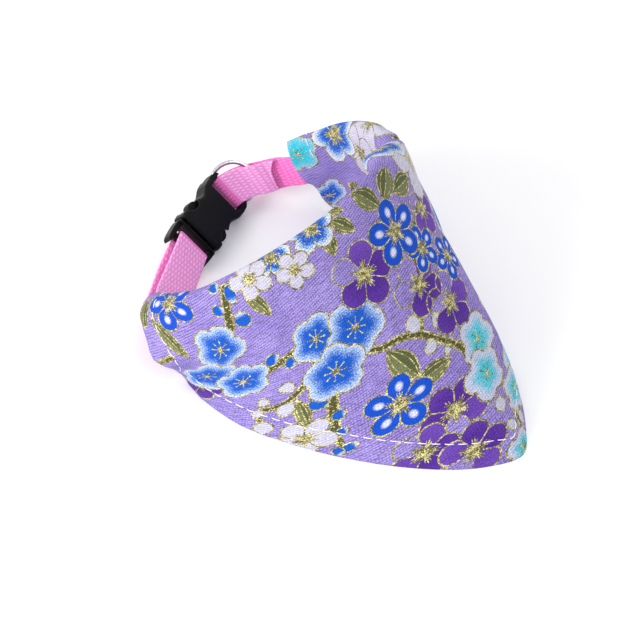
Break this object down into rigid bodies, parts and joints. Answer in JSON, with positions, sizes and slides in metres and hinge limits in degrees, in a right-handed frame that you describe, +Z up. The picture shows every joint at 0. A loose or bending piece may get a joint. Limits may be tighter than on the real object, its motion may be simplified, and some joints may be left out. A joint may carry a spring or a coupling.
{
  "type": "dog bandana",
  "caption": "Small printed cotton bandana gathered on a narrow webbing collar, with a side-release buckle and a lead ring, for a toy or small dog.",
  "frame": {"origin": "centre of the object's footprint, on the table it stands on", "axes": "+Z up; the bandana's point looks along -Y and the fastened buckle lies at +Y; +X is the side of the buckle's socket and the ring"},
  "size_m": [0.097, 0.1364, 0.0616],
  "materials": {
    "printed_cotton": "plain-weave lavender cotton with a blossom print and gold outlines",
    "webbing": "ribbed pink webbing",
    "buckle": "satin black moulded plastic",
    "ring": "polished plated wire"
  },
  "bodies": {
    "root": {"bandana": "printed_cotton", "webbing": "webbing", "buckle_socket": "buckle", "buckle_plug": "buckle", "ring": "ring"}
  },
  "joints": []
}
